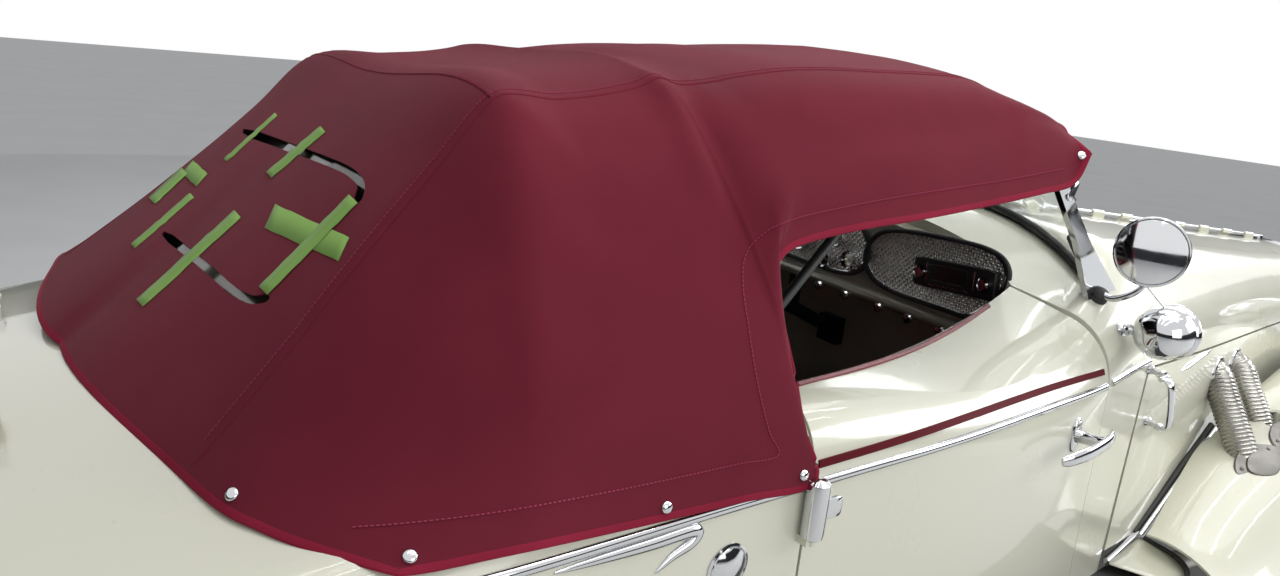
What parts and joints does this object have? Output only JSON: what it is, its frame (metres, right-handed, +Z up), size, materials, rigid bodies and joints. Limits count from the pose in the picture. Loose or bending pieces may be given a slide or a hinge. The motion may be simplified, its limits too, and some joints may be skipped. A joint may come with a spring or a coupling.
{
  "type": "two-door convertible car with a raised soft top, 1930s style",
  "caption": "Open two-door touring car with a long hood, flowing fenders, running boards and a raised canvas top; doors, hood halves, boot lid, wheels and steering move.",
  "frame": {"origin": "middle of the ground under the car's bounding box", "axes": "+Z up, the car faces -Y, its right side is -X"},
  "size_m": [1.8658, 4.94, 1.59],
  "materials": {
    "cream_paint": "gloss",
    "wheel_paint": "gloss",
    "tyre_rubber": "matt",
    "chrome": "polished",
    "ribbed_rubber": "matt",
    "frame_paint": "satin",
    "floor_cover": "carpet",
    "dash_paint": "satin",
    "engine_iron": "painted",
    "radiator_metal": "matt",
    "exhaust_steel": "dull",
    "seat_leather": "satin",
    "wheel_plastic": "gloss",
    "clear_glass": "clear",
    "canvas": "woven"
  },
  "bodies": {
    "car": {"cowl": "cream_paint", "body_tub": "cream_paint", "hood_hinge": "chrome", "boot_hinges": "chrome", "hood_sides": "cream_paint", "grille_shell": "chrome", "grille_bars": "chrome", "front_fenders": "cream_paint", "rear_fenders": "cream_paint", "running_boards": "ribbed_rubber", "frame_rail_right": "frame_paint", "frame_rail_left": "frame_paint", "frame_kick_right": "frame_paint", "frame_kick_left": "frame_paint", "frame_crossmembers": "frame_paint", "floor_pan": "floor_cover", "dashboard": "dash_paint", "front_axle": "frame_paint", "rear_axle": "frame_paint", "engine": "engine_iron", "radiator": "radiator_metal", "exhaust_system": "exhaust_steel", "fuel_tank": "frame_paint", "front_seats": "seat_leather", "rear_seat": "seat_leather", "steering_column": "frame_paint", "windscreen_frame": "chrome", "windscreen_glass": "clear_glass", "soft_top": "canvas", "top_frame": "frame_paint", "rear_window": "clear_glass", "headlamps": "chrome", "headlamp_glass": "clear_glass", "cowl_lamps": "chrome", "mirrors": "chrome", "tail_lamps": "chrome", "bumpers": "chrome", "side_pipes": "chrome"},
    "door_right": {"door_right": "cream_paint"},
    "door_left": {"door_left": "cream_paint"},
    "boot_lid": {"boot_lid": "cream_paint"},
    "hood_right": {"hood_right": "cream_paint"},
    "hood_left": {"hood_left": "cream_paint"},
    "steering_wheel": {"steering_wheel": "wheel_plastic"},
    "knuckle_right": {"knuckle_right": "frame_paint"},
    "knuckle_left": {"knuckle_left": "frame_paint"},
    "wheel_front_right": {"wheel_front_right": "wheel_paint", "tyre_front_right": "tyre_rubber"},
    "wheel_front_left": {"wheel_front_left": "wheel_paint", "tyre_front_left": "tyre_rubber"},
    "wheel_rear_right": {"wheel_rear_right": "wheel_paint", "tyre_rear_right": "tyre_rubber"},
    "wheel_rear_left": {"wheel_rear_left": "wheel_paint", "tyre_rear_left": "tyre_rubber"}
  },
  "joints": [
    {"name": "door_right_hinge", "type": "hinge", "parent": "car", "child": "door_right", "pos_m": [-0.758, 0.7, 0.7], "axis": [0, 0, -1], "range_deg": [0, 65]},
    {"name": "door_left_hinge", "type": "hinge", "parent": "car", "child": "door_left", "pos_m": [0.758, 0.7, 0.7], "axis": [0, 0, 1], "range_deg": [0, 65]},
    {"name": "hood_right_hinge", "type": "hinge", "parent": "car", "child": "hood_right", "pos_m": [0, -1.2, 1.1782], "axis": [0, 0.9962, 0.0872], "range_deg": [0, 60]},
    {"name": "hood_left_hinge", "type": "hinge", "parent": "car", "child": "hood_left", "pos_m": [0, -1.2, 1.1782], "axis": [0, -0.9962, -0.0872], "range_deg": [0, 60]},
    {"name": "boot_lid_hinge", "type": "hinge", "parent": "car", "child": "boot_lid", "pos_m": [0, 1.76, 0.975], "axis": [1, 0, 0], "range_deg": [0, 55]},
    {"name": "steer_left", "type": "hinge", "parent": "car", "child": "knuckle_left", "pos_m": [0.626, -1.718, 0.36], "axis": [0, 0, 1], "range_deg": [-28, 28]},
    {"name": "steer_right", "type": "hinge", "parent": "car", "child": "knuckle_right", "pos_m": [-0.626, -1.718, 0.36], "axis": [0, 0, 1], "range_deg": [-28, 28]},
    {"name": "steering_wheel_turn", "type": "hinge", "parent": "car", "child": "steering_wheel", "pos_m": [0.28, 0.1, 0.97], "axis": [0, 0.9136, 0.4067], "range_deg": [-420, 420]},
    {"name": "wheel_front_right_spin", "type": "hinge", "parent": "knuckle_right", "child": "wheel_front_right", "pos_m": [-0.73, -1.718, 0.36], "axis": [1, 0, 0], "continuous": true},
    {"name": "wheel_front_left_spin", "type": "hinge", "parent": "knuckle_left", "child": "wheel_front_left", "pos_m": [0.73, -1.718, 0.36], "axis": [1, 0, 0], "continuous": true},
    {"name": "wheel_rear_right_spin", "type": "hinge", "parent": "car", "child": "wheel_rear_right", "pos_m": [-0.73, 1.508, 0.36], "axis": [1, 0, 0], "continuous": true},
    {"name": "wheel_rear_left_spin", "type": "hinge", "parent": "car", "child": "wheel_rear_left", "pos_m": [0.73, 1.508, 0.36], "axis": [1, 0, 0], "continuous": true}
  ],
  "couplings": [
    {"joint": "steer_right", "follows": "steer_left", "ratio": 1},
    {"joint": "steering_wheel_turn", "follows": "steer_left", "ratio": 15}
  ]
}
